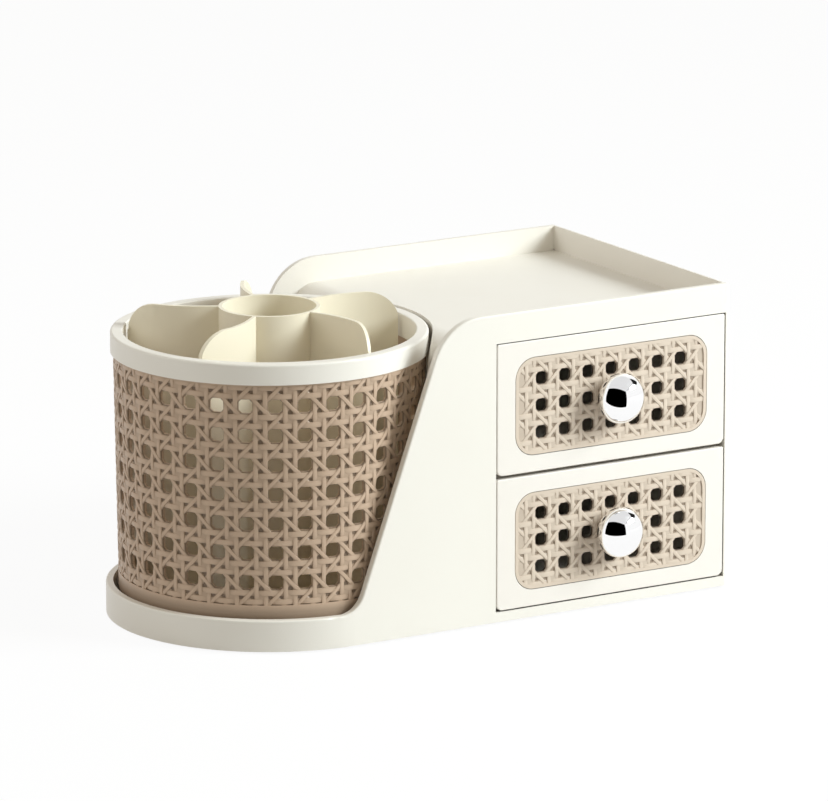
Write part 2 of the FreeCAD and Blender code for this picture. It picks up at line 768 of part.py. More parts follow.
def make_cane_panel(shift):
    """Panel with a raised border, a knob seat and eight-sided holes; a flange sits behind the front."""
    x, z = front_middle, panel_middle_z
    face_y = -half_depth
    field_y = face_y + panel_recess
    web_y = field_y + panel_web
    back_y = front_back_y + panel_flange_wall
    panel = rounded_rectangle(panel_width, panel_height, panel_radius, x, z, face_y, front_back_y)
    flange = rounded_rectangle(panel_width + 2 * panel_flange, panel_height + 2 * panel_flange,
                               panel_radius + panel_flange, x, z, front_back_y, back_y)
    panel = joined(panel, [flange])
    inner = (panel_width - 2 * panel_border, panel_height - 2 * panel_border,
             panel_radius - panel_border)
    panel = panel.cut(rounded_rectangle(*inner, x, z, face_y - overcut, field_y))
    panel = panel.cut(rounded_rectangle(*inner, x, z, web_y, back_y + overcut))
    panel = joined(panel, [front_cylinder(knob_seat_radius, face_y, front_back_y, x, z)])
    face = Part.Face(outline(eight_sided(panel_hole, panel_hole_chamfer), on_side))
    cutter = face.extrude(V(0, 2 * cheek_wall, 0))
    cutters = [front_cylinder(knob_screw_radius + thread_fit, face_y - overcut, back_y + overcut, x, z)]
    for column in range(panel_columns):
        for row in range(panel_rows):
            across = (column - (panel_columns - 1) / 2) * panel_pitch
            up = (row - (panel_rows - 1) / 2) * panel_pitch
            if math.hypot(across, up) > knob_seat_radius + panel_hole / 2:
                cutters.append(cutter.translated(V(x + across, face_y - overcut, z + up)))
    panel = panel.cut(cutters)
    panel.translate(V(0, 0, shift))
    return panel


def make_knob(shift):
    """Ball knob with a flat seat and a blind hole for its screw."""
    centre = V(front_middle, knob_y, panel_middle_z + shift)
    ball = Part.makeSphere(knob_radius, centre, V(0, 1, 0))
    behind = front_cylinder(knob_radius + overcut, -half_depth, 0, centre.x, centre.z)
    hole = front_cylinder(knob_screw_radius + thread_fit, -half_depth - knob_thread_depth, 0,
                          centre.x, centre.z)
    return ball.cut(behind).cut(hole)


def make_knob_washer(shift):
    """Washer between the panel's knob seat and the screw's head."""
    z = panel_middle_z + shift
    disc = front_cylinder(knob_washer_radius, front_back_y, front_back_y + knob_washer_wall,
                          front_middle, z)
    return disc.cut(front_cylinder(knob_screw_radius + washer_gap, -half_depth, 0, front_middle, z))


def make_knob_screw(shift):
    """Screw from inside the drawer into the knob."""
    seat_y = front_back_y + knob_washer_wall
    length = drawer_front_wall + knob_washer_wall + knob_thread_depth - 2 * screw_tip_gap
    return screw(knob_screw_radius, length, knob_head_radius, knob_head_height,
                 V(front_middle, seat_y, panel_middle_z + shift), V(0, -1, 0))


# ---------------------------------------------------------------- writing
def write(name, shape):
    """Move a shape into the part's frame and write it."""
    middle_x = (drum_to_right_face - half_depth) / 2
    moved = shape.translated(V(-middle_x, knob_reach / 2, foot_proud))
    if not moved.isValid():
        raise ValueError(name + " is not a valid shape")
    moved.exportStep("parts/" + name + ".step")


def main():
    os.makedirs("parts", exist_ok=True)
    write("housing", make_housing())
    write("base_plate", make_base_plate())
    write("rubber_feet", make_feet())
    write("base_screws", make_base_screws())
    write("drawer_shelf", make_shelf())
    write("shelf_screws", make_shelf_screws())
    write("ball_cage", make_cage())
    write("bearing_balls", make_balls())
    write("drum_platter", make_platter())
    write("platter_screws", make_platter_screws())
    write("pivot_washer", make_pivot_washer())
    write("pivot_screw", make_pivot_screw())
    write("drum_sleeve", make_sleeve())
    write("rim_ring", make_rim())
    write("divider_insert", make_insert())
    for level, shift in (("lower", 0.0), ("upper", drawer_pitch)):
        write(level + "_drawer", make_drawer_box(shift))
        write(level + "_cane_panel", make_cane_panel(shift))
        write(level + "_knob", make_knob(shift))
        write(level + "_knob_washer", make_knob_washer(shift))
        write(level + "_knob_screw", make_knob_screw(shift))


if __name__ == "__main__":
    main()
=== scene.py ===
"""Studio scene of a rotating desk organizer.

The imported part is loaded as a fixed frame. This script weaves the cane strands of the pen drum
and of the drawer fronts, turns the flattened knobs, cuts the screws' cross recesses, gives every
piece its finish and sets up the floor, the lamps and the camera. Metres, in the part's own frame,
+Z up, the drawers towards -Y.
"""
import logging
import math
from dataclasses import dataclass, field, replace
from enum import Enum
from typing import Any, Callable, Optional, Union

import bmesh
import bpy
import numpy as np
from mathutils import Matrix, Vector


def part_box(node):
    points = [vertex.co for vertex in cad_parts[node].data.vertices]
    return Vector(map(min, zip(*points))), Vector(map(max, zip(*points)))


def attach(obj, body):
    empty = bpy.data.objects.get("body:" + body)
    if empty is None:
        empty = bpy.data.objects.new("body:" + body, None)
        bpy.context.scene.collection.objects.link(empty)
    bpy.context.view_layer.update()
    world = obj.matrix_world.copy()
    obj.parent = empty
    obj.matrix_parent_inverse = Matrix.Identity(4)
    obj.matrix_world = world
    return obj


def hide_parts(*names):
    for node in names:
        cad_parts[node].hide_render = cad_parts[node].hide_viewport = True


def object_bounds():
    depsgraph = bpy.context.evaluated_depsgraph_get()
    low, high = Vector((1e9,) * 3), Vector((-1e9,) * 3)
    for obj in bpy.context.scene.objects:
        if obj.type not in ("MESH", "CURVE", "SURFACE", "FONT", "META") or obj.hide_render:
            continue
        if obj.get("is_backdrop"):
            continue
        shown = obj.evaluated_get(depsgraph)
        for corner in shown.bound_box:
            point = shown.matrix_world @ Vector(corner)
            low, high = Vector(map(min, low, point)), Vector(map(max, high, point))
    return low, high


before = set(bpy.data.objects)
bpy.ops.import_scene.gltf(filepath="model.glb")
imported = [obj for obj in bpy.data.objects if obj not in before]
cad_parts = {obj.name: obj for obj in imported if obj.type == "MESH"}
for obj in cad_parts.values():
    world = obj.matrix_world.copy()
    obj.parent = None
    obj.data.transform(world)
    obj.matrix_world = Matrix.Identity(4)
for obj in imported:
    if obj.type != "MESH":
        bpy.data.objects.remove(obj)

LOG = logging.getLogger("desk_organizer")
MM = 0.001
WELD = 0.00001

Colour = tuple[float, float, float]
Point = tuple[float, float, float]


# Shader maths
class Wire:
    """An output socket that takes part in arithmetic."""

    def __init__(self, kit: "NodeKit", socket: bpy.types.NodeSocket) -> None:
        """Keep the node kit that new nodes are added with, and the socket."""
        self.kit = kit
        self.socket = socket

    def _with(self, operation: str, first: "Value", second: "Value") -> "Wire":
        """Add one Math node."""
        return self.kit.add("ShaderNodeMath", {0: first, 1: second}, operation=operation)

    def __add__(self, other: "Value") -> "Wire":
        """Sum."""
        return self._with("ADD", self, other)

    def __radd__(self, other: "Value") -> "Wire":
        """Sum with a number on the left."""
        return self._with("ADD", other, self)

    def __sub__(self, other: "Value") -> "Wire":
        """Difference."""
        return self._with("SUBTRACT", self, other)

    def __rsub__(self, other: "Value") -> "Wire":
        """Difference with a number on the left."""
        return self._with("SUBTRACT", other, self)

    def __mul__(self, other: "Value") -> "Wire":
        """Product."""
        return self._with("MULTIPLY", self, other)

    def __truediv__(self, other: "Value") -> "Wire":
        """Quotient."""
        return self._with("DIVIDE", self, other)

    def __pow__(self, other: "Value") -> "Wire":
        """Power."""
        return self._with("POWER", self, other)

    def root(self) -> "Wire":
        """Square root."""
        return self.kit.add("ShaderNodeMath", {0: self}, operation="SQRT")

    def clamped(self) -> "Wire":
        """The value kept between 0 and 1."""
        return self.kit.add("ShaderNodeClamp", {"Value": self})


Value = Union[Wire, float, int]


class NodeKit:
    """Adds nodes to one material or to the world."""

    def __init__(self, owner: Union[bpy.types.Material, bpy.types.World]) -> None:
        """Take over an empty node tree.

        Args:
            owner: the material or world.
        """
        self.owner = owner
        owner.use_nodes = True
        self.tree = owner.node_tree
        self.tree.nodes.clear()

    @classmethod
    def named(cls, name: str) -> "NodeKit":
        """Node kit of a new material."""
        return cls(bpy.data.materials.new(name + "_finish"))

    def add(self, kind: str, sockets: Optional[dict[Union[str, int], Any]] = None,
            output: Union[str, int, None] = 0, **settings: Any) -> Optional[Wire]:
        """Add one node.

        Args:
            kind: the node's type.
            sockets: values or wires of its inputs, by name or number, colours without alpha.
            output: the output to return, or None if it has none.
            **settings: the node's own settings, set before its sockets.

        Returns:
            The chosen output.
        """
        node = self.tree.nodes.new(kind)
        for name, value in settings.items():
            setattr(node, name, value)
        for name, value in (sockets or {}).items():
            socket = node.inputs[name]
            if isinstance(value, Wire):
                self.tree.links.new(value.socket, socket)
            else:
                opaque = socket.type == "RGBA" and len(value) == 3
                socket.default_value = (*value, 1.0) if opaque else value
        return None if output is None else Wire(self, node.outputs[output])

    def place(self) -> Wire:
        """Position in the part's frame."""
        return self.add("ShaderNodeTexCoord", output="Object")

    def parts(self, vector: Wire) -> list[Wire]:
        """X, Y and Z of a vector."""
        outputs = self.add("ShaderNodeSeparateXYZ", {0: vector}).socket.node.outputs
        return [Wire(self, part) for part in outputs]

    def rays(self, *kinds: str) -> Wire:
        """Tell kinds of rays apart.

        Args:
            *kinds: names of the kinds.

        Returns:
            1 for these rays and 0 for all others.
        """
        outputs = self.add("ShaderNodeLightPath").socket.node.outputs
        first, *others = [Wire(self, outputs[f"Is {kind} Ray"]) for kind in kinds]
        return sum(others, first).clamped()

    def noise(self, scale: float, detail: float = 3.0) -> Wire:
        """Noise from 0 to 1.

        Args:
            scale: repeats in a metre.
            detail: octaves.

        Returns:
            The noise.
        """
        return self.add("ShaderNodeTexNoise",
                        {"Vector": self.place(), "Scale": scale, "Detail": detail})

    def mix(self, factor: Value, first: Union[Wire, Colour],
            second: Union[Wire, Colour]) -> Wire:
        """Mix two colours.

        Args:
            factor: share of the second colour.
            first: the first colour.
            second: the second colour.

        Returns:
            The mixed colour.
        """
        return self.add("ShaderNodeMix", {0: factor, 6: first, 7: second}, output=2,
                        data_type="RGBA")

    def bump(self, height: Wire, distance: float) -> Wire:
        """Normal from a height between 0 and 1 that stands for the given distance."""
        return self.add("ShaderNodeBump", {"Strength": 1.0, "Distance": distance,
                                           "Height": height})

    def surface(self, **inputs: Any) -> bpy.types.Material:
        """Finish the material with a Principled shader.

        Args:
            **inputs: the shader's inputs, with underscores for spaces.

        Returns:
            The material.
        """
        sockets = {name.replace("_", " "): value for name, value in inputs.items()}
        return self.output(self.add("ShaderNodeBsdfPrincipled", sockets))

    def output(self, shader: Wire, kind: str = "ShaderNodeOutputMaterial") -> bpy.types.ID:
        """Send a shader to the surface.

        Args:
            shader: the shader.
            kind: type of the output node.

        Returns:
            The material or world.
        """
        self.add(kind, {"Surface": shader}, output=None)
        return self.owner


# Finishes
class Slot(Enum):
    """Material slots of the part."""

    CREAM = "cream_plastic"
    TAUPE = "taupe_plastic"
    CHROME = "knob_chrome"
    ZINC = "zinc_steel"
    BALLS = "bearing_steel"
    NYLON = "natural_nylon"
    RUBBER = "foot_rubber"


@dataclass(frozen=True)
class MouldedPlastic:
    """Satin injection-moulded plastic with a fine spark texture.

    Attributes:
        slot: the record's material slot.
        colour: the plastic's colour.
        cloud: colour of its faint clouding.
        gloss_low: least roughness.
        gloss_high: greatest roughness.
        patches: patches of roughness in a metre.
        patch_detail: octaves of the patches.
        ior: index of refraction.
        specular: strength of its shine.
        grain: grains of the texture in a metre.
        grain_height: height of the grain.
        cloud_scale: clouds in a metre.
        name: the material's name, the slot's if left out.
        gap: how near a wall shuts off the light in the joints between mouldings, for their painted
            shade, or 0.
        shut: open share of the sky below which the plastic gets painted shade there.
        gap_edge: how fast the painted shade deepens below that.
        level_only: whether only faces that look up or down get the painted shade.
        painted_gap_shade: colour of the painted shade down in them.
    """

    slot: Slot
    colour: Colour
    cloud: Colour
    gloss_low: float = 0.34
    gloss_high: float = 0.46
    patches: float = 90.0
    patch_detail: float = 4.0
    ior: float = 1.5
    specular: float = 0.45
    grain: float = 2600.0
    grain_height: float = 0.03 * MM
    cloud_scale: float = 22.0
    name: str = ""
    gap: float = 0.0
    shut: float = 0.34
    gap_edge: float = 5.0
    level_only: bool = False
    painted_gap_shade: Colour = (0.02, 0.012, 0.008)

    def body(self, kit: NodeKit) -> Wire:
        """Clouded colour."""
        return kit.mix(kit.noise(self.cloud_scale, 2.0), self.colour, self.cloud)

    def roughness(self, kit: NodeKit) -> Wire:
        """Roughness in patches between its limits."""
        patches = kit.noise(self.patches, self.patch_detail)
        return self.gloss_low + patches * (self.gloss_high - self.gloss_low)

    def texture(self, kit: NodeKit) -> Wire:
        """Height of the texture, from 0 to 1."""
        return kit.noise(self.grain, 2.0)

    def joint(self, kit: NodeKit) -> Wire:
        """Find where shade is painted in the joints between mouldings.

        Args:
            kit: the material's node kit.

        Returns:
            1 down in a narrow gap, where the painted shade goes, and 0 in the open.
        """
        open_share = kit.add("ShaderNodeAmbientOcclusion", {"Distance": self.gap}, output="AO")
        dark = ((self.shut - open_share) * self.gap_edge).clamped()
        if self.level_only:
            upright = kit.parts(kit.add("ShaderNodeNewGeometry", output="Normal"))[2]
            dark = dark * (upright * upright)
        return dark

    def material(self) -> bpy.types.Material:
        """Make the finish.

        Returns:
            Its material.
        """
        kit = NodeKit.named(self.name or self.slot.value)
        colour = self.body(kit)
        # Painted shade: the plastic darkens in the joints between mouldings, where little sky
        # reaches.
        if self.gap:
            colour = kit.mix(self.joint(kit), colour, self.painted_gap_shade)
        return kit.surface(Base_Color=colour, Roughness=self.roughness(kit),
                           Normal=kit.bump(self.texture(kit), self.grain_height),
                           IOR=self.ior, Specular_IOR_Level=self.specular)


@dataclass(frozen=True)
class InsertPlastic(MouldedPlastic):
    """The divider insert's plastic, with painted shade that turns it warmer and darker down in the
    drum.

    Attributes:
        deep_shade: its colour down there, a painted shade with warm bounced light.
        rim: height at which it starts to turn.
        deep_below: height below which it has turned.
    """

    deep_shade: Colour = (0.85, 0.765, 0.61)
    rim: float = 118.0 * MM
    deep_below: float = 95.0 * MM

    def body(self, kit: NodeKit) -> Wire:
        """Clouded colour with painted shade that turns it warmer and darker further down.

        Args:
            kit: the material's node kit.

        Returns:
            The colour.
        """
        height = kit.parts(kit.place())[2]
        # Painted shade: warmer and darker from the rim down into the drum.
        down = ((self.rim - height) / (self.rim - self.deep_below)).clamped()
        return kit.mix(down, super().body(kit), self.deep_shade)


@dataclass(frozen=True)
class Depth:
    """How far a point lies behind the plain surface that the weave is sunk into, which places the
    weave's painted shade.

    Attributes:
        axis: the drum's axis (x, y), or None on a flat panel.
        level: the plain surface's radius at z = 0, or its y on a flat panel.
        slope: growth of the radius with z.
        reach: depth of the weave's floor.
        wall: depth of the perforated web's back.
        throat_start: where the holes' walls start, in reaches.
        back_start: where the wall behind the weave starts, in reaches.
        fade: how far each of them takes to set in, in reaches.
    """

    axis: Optional[tuple[float, float]]
    level: float
    slope: float
    reach: float
    wall: float = 0.0
    throat_start: float = 1.1
    back_start: float = 1.25
    fade: float = 0.4

    def behind(self, kit: NodeKit) -> Wire:
        """Distance behind the plain surface.

        Args:
            kit: the material's node kit.

        Returns:
            The distance in metres.
        """
        x, y, z = kit.parts(kit.place())
        if self.axis is None:
            return y - self.level
        across = x - self.axis[0]
        along = y - self.axis[1]
        radius = (across * across + along * along).root()
        return z * self.slope + self.level - radius

    def throat_shade(self, kit: NodeKit) -> Wire:
        """Find the walls of the holes, which get painted shade.

        Args:
            kit: the material's node kit.

        Returns:
            1 on them, 0 on the weave and on the moulding's back.
        """
        behind = self.behind(kit)
        width = self.reach * self.fade
        entered = ((behind - self.reach * self.throat_start) / width).clamped()
        return entered * ((self.wall - behind) / width).clamped()

    def share(self, kit: NodeKit) -> Wire:
        """Find how far into the weave a point lies, for the painted shade there.

        Args:
            kit: the material's node kit.

        Returns:
            0 at the plain surface, 1 on the weave's floor, 0 again on the wall behind it.
        """
        behind = self.behind(kit)
        inside = ((behind - self.reach * self.back_start) / (self.reach * self.fade)).clamped()
        return (behind / self.reach).clamped() * (1 - inside)


@dataclass(frozen=True)
class CanePlastic(MouldedPlastic):
    """Taupe moulded plastic with painted shade between the strands, on the plain band below them
    and, if given, on the holes' walls.

    Attributes:
        patches: patches of roughness in a metre.
        patch_detail: octaves of the patches.
        specular: strength of its shine.
        depth: how the depth in the weave is read.
        shade: colour of the painted shade on the weave's floor.
        most: greatest share of that colour.
        falloff: how late it sets in on the way down.
        throat_shade: colour of the painted shade on the holes' walls, if it differs.
        band_top: height of the plain band's top, if there is one.
        band_blend: height over which the band's painted shade sets in.
        band_shade_share: the band's painted shade, as a share of the plastic's colour.
        fibre: fibres of the texture in a metre.
        fibre_share: their share of the texture's height.
    """

    patches: float = 160.0
    patch_detail: float = 3.0
    specular: float = 0.4
    depth: Optional[Depth] = None
    shade: Colour = (0.19, 0.135, 0.09)
    most: float = 0.92
    falloff: float = 1.6
    throat_shade: Optional[Colour] = None
    band_top: Optional[float] = None
    band_blend: float = 3.0 * MM
    band_shade_share: float = 0.68
    fibre: float = 900.0
    fibre_share: float = 0.7

    def body(self, kit: NodeKit) -> Wire:
        """Clouded colour with painted shade on the weave's floor, on the holes' walls and on the
        band.

        Args:
            kit: the material's node kit.

        Returns:
            The colour.
        """
        colour = super().body(kit)
        if self.depth is not None:
            # Painted shade that deepens towards the weave's floor.
            floor = self.depth.share(kit) ** self.falloff * self.most
            colour = kit.mix(floor, colour, self.shade)
            if self.throat_shade is not None:
                # Painted shade on the walls of the holes.
                colour = kit.mix(self.depth.throat_shade(kit), colour, self.throat_shade)
        if self.band_top is not None:
            # Painted shade: the plain band below the weave is darker.
            below = (self.band_top - kit.parts(kit.place())[2]) / self.band_blend
            band = tuple(self.band_shade_share * part for part in self.colour)
            colour = kit.mix(below.clamped(), colour, band)
        return colour

    def texture(self, kit: NodeKit) -> Wire:
        """Height of fibres and grain, from 0 to 1."""
        fibres = kit.noise(self.fibre) * self.fibre_share
        return fibres + super().texture(kit) * (1 - self.fibre_share)


@dataclass(frozen=True)
class Metal:
    """Plated or plain metal with faint wipe marks.

    Attributes:
        slot: the record's material slot.
        colour: the metal's colour.
        tint: colour of its marks.
        gloss_low: least roughness.
        gloss_high: greatest roughness.
        marks: marks in a metre.
        mark_detail: octaves of the marks.
    """

    slot: Slot
    colour: Colour
    tint: Colour
    gloss_low: float
    gloss_high: float
    marks: float
    mark_detail: float = 4.0

    def material(self) -> bpy.types.Material:
        """Make the finish.

        Returns:
            Its material.
        """
        kit = NodeKit.named(self.slot.value)
        wipe = kit.noise(self.marks, self.mark_detail)
        rough = self.gloss_low + wipe * (self.gloss_high - self.gloss_low)
        return kit.surface(Base_Color=kit.mix(wipe, self.colour, self.tint), Metallic=1.0,
                           Roughness=rough)


@dataclass(frozen=True)
class Rubber:
    """Matte rubber with a fine tooth.

    Attributes:
        slot: the record's material slot.
        colour: the rubber's colour.
        dust: colour of its dusty patches.
        patches: dusty patches in a metre.
        teeth: teeth in a metre.
        tooth_height: height of a tooth.
        gloss_low: least roughness.
        gloss_high: greatest roughness.
    """

    slot: Slot = Slot.RUBBER
    colour: Colour = (0.012, 0.012, 0.013)
    dust: Colour = (0.035, 0.034, 0.032)
    patches: float = 120.0
    teeth: float = 1800.0
    tooth_height: float = 0.04 * MM
    gloss_low: float = 0.75
    gloss_high: float = 0.85

    def material(self) -> bpy.types.Material:
        """Make the finish.

        Returns:
            Its material.
        """
        kit = NodeKit.named(self.slot.value)
        tooth = kit.noise(self.teeth)
        return kit.surface(Base_Color=kit.mix(kit.noise(self.patches), self.colour, self.dust),
                           Roughness=self.gloss_low + tooth * (self.gloss_high - self.gloss_low),
                           Normal=kit.bump(tooth, self.tooth_height))


# Modelling helpers
def deselect() -> None:
    """Leave edit mode and deselect everything."""
    if bpy.context.object is not None and bpy.context.object.mode != "OBJECT":
        bpy.ops.object.mode_set(mode="OBJECT")
    bpy.ops.object.select_all(action="DESELECT")


def add_object(name: str, data: bpy.types.ID) -> bpy.types.Object:
    """Add an object to the scene.

    Args:
        name: its name.
        data: its mesh, lamp or camera.

    Returns:
        The object, at the origin.
    """
    added = bpy.data.objects.new(name, data)
    bpy.context.scene.collection.objects.link(added)
    return added


def activate(piece: bpy.types.Object) -> None:
    """Make a piece the only selected and active one.

    Args:
        piece: the piece.
    """
    deselect()
    piece.select_set(True)
    bpy.context.view_layer.objects.active = piece


def apply_modifier(piece: bpy.types.Object, kind: str, **settings: Any) -> None:
    """Add a modifier and apply it.

    Args:
        piece: the piece.
        kind: the modifier's type.
        **settings: the modifier's settings.
    """
    activate(piece)
    modifier = piece.modifiers.new(kind.lower(), kind)
    for name, value in settings.items():
        setattr(modifier, name, value)
    bpy.ops.object.modifier_apply(modifier=modifier.name)


def join(pieces: list[bpy.types.Object], name: str) -> bpy.types.Object:
    """Join pieces into one.

    Args:
        pieces: the pieces.
        name: the name of the one that is left.

    Returns:
        The joined piece.
    """
    activate(pieces[0])
    for piece in pieces[1:]:
        piece.select_set(True)
    bpy.ops.object.join()
    pieces[0].name = name
    return pieces[0]


def remap(piece: bpy.types.Object, place: Callable[..., tuple]) -> None:
    """Move all vertices of a piece.

    Args:
        piece: the piece.
        place: new x, y and z from the old ones, each as one array.
    """
    flat = np.zeros(len(piece.data.vertices) * 3)
    piece.data.vertices.foreach_get("co", flat)
    moved = np.stack(place(*flat.reshape(-1, 3).T), axis=1)
    piece.data.vertices.foreach_set("co", moved.ravel())
    piece.data.update()


def weld(piece: bpy.types.Object) -> None:
    """Merge a piece's doubled vertices.

    Args:
        piece: the piece, which is left active.
    """
    activate(piece)
    bpy.ops.object.mode_set(mode="EDIT")
    bpy.ops.mesh.select_all(action="SELECT")
    bpy.ops.mesh.remove_doubles(threshold=WELD)
    bpy.ops.object.mode_set(mode="OBJECT")


def smooth(piece: bpy.types.Object, sharp: float) -> None:
    """Shade a piece smooth, but for edges that turn by more than so many degrees."""
    activate(piece)
    bpy.ops.object.shade_smooth_by_angle(angle=math.radians(sharp))


def copy_of_node(node: str, name: str) -> bpy.types.Object:
    """Copy a CAD node's mesh, merged, as a new piece.

    Args:
        node: the node.
        name: the piece's name.

    Returns:
        The piece, at the origin.
    """
    piece = add_object(name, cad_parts[node].data.copy())
    weld(piece)
    return piece


def dress(piece: bpy.types.Object, material: bpy.types.Material) -> None:
    """Give a piece one material."""
    piece.data.materials.clear()
    piece.data.materials.append(material)


def dress_nodes(material: bpy.types.Material, *nodes: str) -> None:
    """Give the objects of CAD nodes a material, and leave their meshes alone.

    Args:
        material: the material.
        *nodes: the nodes.
    """
    for node in nodes:
        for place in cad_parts[node].material_slots:
            place.link = "OBJECT"
            place.material = material


def mount(piece: bpy.types.Object, material: bpy.types.Material, body: str, slot: Slot,
          *nodes: str) -> None:
    """Give a piece its material and let it ride on a body.

    Args:
        piece: the piece.
        material: the material.
        body: the CAD body.
        slot: the record's material slot; not used.
        *nodes: CAD nodes that it stands for.
    """
    dress(piece, material)
    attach(piece, body)
    if nodes:
        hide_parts(*nodes)
    LOG.info("%s: %d faces on %s", piece.name, len(piece.data.polygons), body)


# Cane weave
class Run(Enum):
    """Directions in which a strand runs."""

    UPRIGHT = 90.0
    LEVEL = 0.0
    RISING = 45.0
    FALLING = -45.0


@dataclass(frozen=True)
class Strand:
    """One strand of the weave within one repeat, in repeats from the hole's centre.

    Attributes:
        run: its direction.
        middle: the middle of its stretch in this repeat.
        width: its width.
        crest: where it lies on top of the others, as a share of its stretch.
    """

    run: Run
    middle: tuple[float, float]
    width: float
    crest: float

    def length(self) -> float:
        """Length of the stretch that one repeat holds."""
        return 1.0 if self.run in (Run.UPRIGHT, Run.LEVEL) else math.sqrt(2.0)


@dataclass
class CaneWeave:
    """The traditional cane weave: two uprights, two levels and two diagonals in each repeat.

    Attributes:
        pitch: size of one repeat.
        sunk: depth of the weave's floor below the plain surface.
        crest_depth: depth of a strand's crown where it lies on top.
        dip: how much lower it passes under the others.
        crown: how far a strand's middle stands over its shoulders.
        foot: width of a strand's or pad's sloping sides.
        steps: faces along a repeat.
        lanes: faces across a strand.
        spread: how far out a strand's shoulders lie, as a share of its flat top.
        sharpness: how squarely a strand rises and dips.
        web: width of the small web between four strands, in repeats.
        web_depth: depth of its top below the plain surface.
        web_place: its middle, in repeats.
        sharp: degrees by which an edge turns that is not smoothed.
        strands: the strands of one repeat.
    """

    pitch: float
    sunk: float
    crest_depth: float = 0.02 * MM
    dip: float = 0.42 * MM
    crown: float = 0.15 * MM
    foot: float = 0.2 * MM
    steps: int = 8
    lanes: int = 4
    spread: float = 0.93
    sharpness: float = 1.7
    web: float = 0.3
    web_depth: float = 0.4 * MM
    web_place: tuple[float, float] = (0.496, 0.489)
    sharp: float = 40.0
    strands: tuple[Strand, ...] = (
        Strand(Run.UPRIGHT, (-0.341, 0.0), 0.146, 0.755),
        Strand(Run.UPRIGHT, (0.333, 0.0), 0.141, 0.235),
        Strand(Run.LEVEL, (0.0, 0.338), 0.176, 0.75),
        Strand(Run.LEVEL, (0.0, -0.36), 0.182, 0.24),
        Strand(Run.RISING, (0.0, 0.5), 0.122, 0.5),
        Strand(Run.FALLING, (0.5, 0.0), 0.122, 0.5),
    )

    def strand_piece(self, strand: Strand) -> bpy.types.Object:
        """Model one strand: a strip whose shoulders and crown rise and dip along it.

        Args:
            strand: the strand.

        Returns:
            The strip, flat on the floor plane z = -sunk.
        """
        length = strand.length() * self.pitch
        width = strand.width * self.pitch + 2 * self.foot
        deselect()
        bpy.ops.mesh.primitive_grid_add(x_subdivisions=self.steps, y_subdivisions=self.lanes,
                                        size=1.0, location=(0, 0, 0))
        piece = bpy.context.object
        piece.scale = (length, width, 1.0)
        bpy.ops.object.transform_apply(location=False, rotation=False, scale=True)
        bpy.ops.object.mode_set(mode="EDIT")
        shoulder = width / 2 - self.foot
        near = length / self.steps / 2
        for step in range(self.steps + 1):
            along = (step / self.steps - 0.5) * length
            turn = 2 * math.pi * (step / self.steps - strand.crest)
            lift = max(-1.0, min(1.0, self.sharpness * math.cos(turn)))
            drop = self.crest_depth + self.dip * (1 - lift) / 2
            self.shift(piece, lambda co: abs(co.x - along) < near and abs(co.y) < shoulder,
                       (0, 0, self.sunk - drop - self.crown))
        lane = width / self.lanes
        self.shift(piece, lambda co: abs(co.y) < lane / 2, (0, 0, self.crown))
        for side in (-1, 1):
            self.shift(piece, lambda co: abs(co.y - side * lane) < lane / 2,
                       (0, side * (shoulder * self.spread - lane), 0))
        bpy.ops.object.mode_set(mode="OBJECT")
        piece.rotation_euler = (0, 0, math.radians(strand.run.value))
        piece.location = (strand.middle[0] * self.pitch, strand.middle[1] * self.pitch, -self.sunk)
        bpy.ops.object.transform_apply(location=True, rotation=True, scale=True)
        return piece

    @staticmethod
    def shift(piece: bpy.types.Object, test: Callable[[Vector], bool], offset: Point) -> None:
        """Move some vertices.

        Args:
            piece: the piece, in edit mode.
            test: whether a vertex at a place is moved.
            offset: how far.
        """
        bpy.ops.mesh.select_all(action="DESELECT")
        mesh = bmesh.from_edit_mesh(piece.data)
        for vertex in mesh.verts:
            vertex.select_set(test(vertex.co))
        mesh.select_flush(True)
        bmesh.update_edit_mesh(piece.data)
        bpy.ops.transform.translate(value=offset)

    def pad(self, share: float, depth: float, place: tuple[float, float]) -> bpy.types.Object:
        """Model a shallow square pad.

        Args:
            share: its width, in repeats.
            depth: how far its top lies below the plain surface.
            place: its middle, in repeats.

        Returns:
            The pad.
        """
        deselect()
        bpy.ops.mesh.primitive_plane_add(size=self.pitch * share, location=(0, 0, -self.sunk))
        piece = bpy.context.object
        bpy.ops.object.mode_set(mode="EDIT")
        bpy.ops.mesh.select_all(action="SELECT")
        bpy.ops.mesh.inset(thickness=self.foot)
        bpy.ops.transform.translate(value=(0, 0, self.sunk - depth))
        bpy.ops.object.mode_set(mode="OBJECT")
        piece.location = (place[0] * self.pitch, place[1] * self.pitch, piece.location.z)
        bpy.ops.object.transform_apply(location=True, rotation=True, scale=True)
        return piece

    def cloth(self, columns: int, rows: int, name: str) -> bpy.types.Object:
        """Weave a flat sheet.

        Args:
            columns: repeats across.
            rows: repeats up.
            name: the sheet's name.

        Returns:
            The sheet, with the first hole's centre at the origin.
        """
        strands = [self.strand_piece(strand) for strand in self.strands]
        piece = join(strands + [self.pad(self.web, self.web_depth, self.web_place)], name)
        for count, offset in ((rows, (0.0, self.pitch, 0.0)), (columns, (self.pitch, 0.0, 0.0))):
            apply_modifier(piece, "ARRAY", count=count, use_relative_offset=False,
                           use_constant_offset=True, constant_offset_displace=offset)
        return piece

    @staticmethod
    def trim(piece: bpy.types.Object, point: Point, outward: Point) -> None:
        """Cut away what lies beyond a plane.

        Args:
            piece: the sheet.
            point: a point of the plane.
            outward: the plane's normal, towards what is cut away.
        """
        activate(piece)
        bpy.ops.object.mode_set(mode="EDIT")
        bpy.ops.mesh.select_all(action="SELECT")
        bpy.ops.mesh.bisect(plane_co=point, plane_no=outward, clear_outer=True)
        bpy.ops.object.mode_set(mode="OBJECT")


